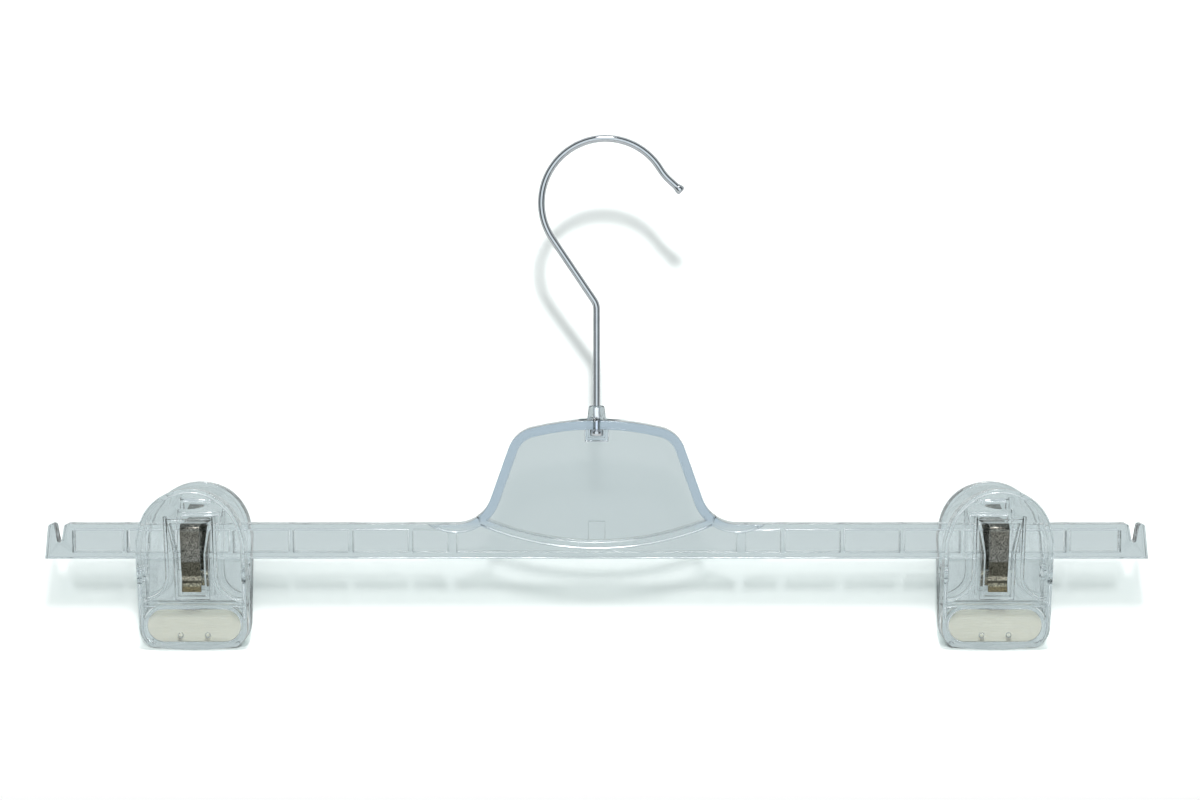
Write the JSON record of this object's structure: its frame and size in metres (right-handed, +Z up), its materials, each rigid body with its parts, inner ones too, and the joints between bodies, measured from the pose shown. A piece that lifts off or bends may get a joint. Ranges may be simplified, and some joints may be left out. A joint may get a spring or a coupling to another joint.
{
  "type": "skirt hanger",
  "caption": "Clear skirt hanger: moulded bar with a bell-shaped middle and end notches, swivelling wire hook, and sprung pinch clips with soft pads that slide on the bar.",
  "frame": {"origin": "The rail seat: on the swivel axis, level with the inside of the hook's crown, where the rail carries the hanger.", "axes": "+X along the bar to the right seen from the front, -Y towards the front, +Z up. The hook opens towards +X."},
  "size_m": [0.3602, 0.0262, 0.1676],
  "materials": {
    "clear_plastic": "polished clear polystyrene with a faint blue-grey cast",
    "chrome_wire": "bright plated steel wire",
    "spring_steel": "nickel-plated spring strip with a fine grain",
    "grip_pad": "matt ivory soft plastic"
  },
  "bodies": {
    "hook": {"hook": "chrome_wire"},
    "hanger_body": {"hanger_body": "clear_plastic"},
    "left_clip": {"left_spring": "spring_steel"},
    "left_front": {"left_front_jaw": "clear_plastic", "left_front_pad": "grip_pad"},
    "left_back": {"left_back_jaw": "clear_plastic", "left_back_pad": "grip_pad"},
    "right_clip": {"right_spring": "spring_steel"},
    "right_front": {"right_front_jaw": "clear_plastic", "right_front_pad": "grip_pad"},
    "right_back": {"right_back_jaw": "clear_plastic", "right_back_pad": "grip_pad"}
  },
  "joints": [
    {"name": "hook_swivel", "type": "hinge", "parent": "hook", "child": "hanger_body", "pos_m": [0, 0, -0.0876], "axis": [0, 0, 1], "continuous": true},
    {"name": "left_clip_slide", "type": "slide", "parent": "hanger_body", "child": "left_clip", "axis": [1, 0, 0], "range_m": [-0.0225, 0.057]},
    {"name": "left_front_pivot", "type": "hinge", "parent": "left_clip", "child": "left_front", "pos_m": [-0.13147, 0, -0.1401], "axis": [-1, 0, 0], "range_deg": [0, 11], "stiffness_Nm_per_rad": 0.25, "springref_deg": -28.65, "deforming": ["left_spring"]},
    {"name": "left_back_pivot", "type": "hinge", "parent": "left_clip", "child": "left_back", "pos_m": [-0.13147, 0, -0.1401], "axis": [1, 0, 0], "range_deg": [0, 11], "stiffness_Nm_per_rad": 0.25, "springref_deg": -28.65, "deforming": ["left_spring"]},
    {"name": "right_clip_slide", "type": "slide", "parent": "hanger_body", "child": "right_clip", "axis": [1, 0, 0], "range_m": [-0.0555, 0.0235]},
    {"name": "right_front_pivot", "type": "hinge", "parent": "right_clip", "child": "right_front", "pos_m": [0.13021, 0, -0.1401], "axis": [-1, 0, 0], "range_deg": [0, 11], "stiffness_Nm_per_rad": 0.25, "springref_deg": -28.65, "deforming": ["right_spring"]},
    {"name": "right_back_pivot", "type": "hinge", "parent": "right_clip", "child": "right_back", "pos_m": [0.13021, 0, -0.1401], "axis": [1, 0, 0], "range_deg": [0, 11], "stiffness_Nm_per_rad": 0.25, "springref_deg": -28.65, "deforming": ["right_spring"]}
  ],
  "couplings": [
    {"joint": "left_back_pivot", "follows": "left_front_pivot", "ratio": 1},
    {"joint": "right_back_pivot", "follows": "right_front_pivot", "ratio": 1}
  ]
}
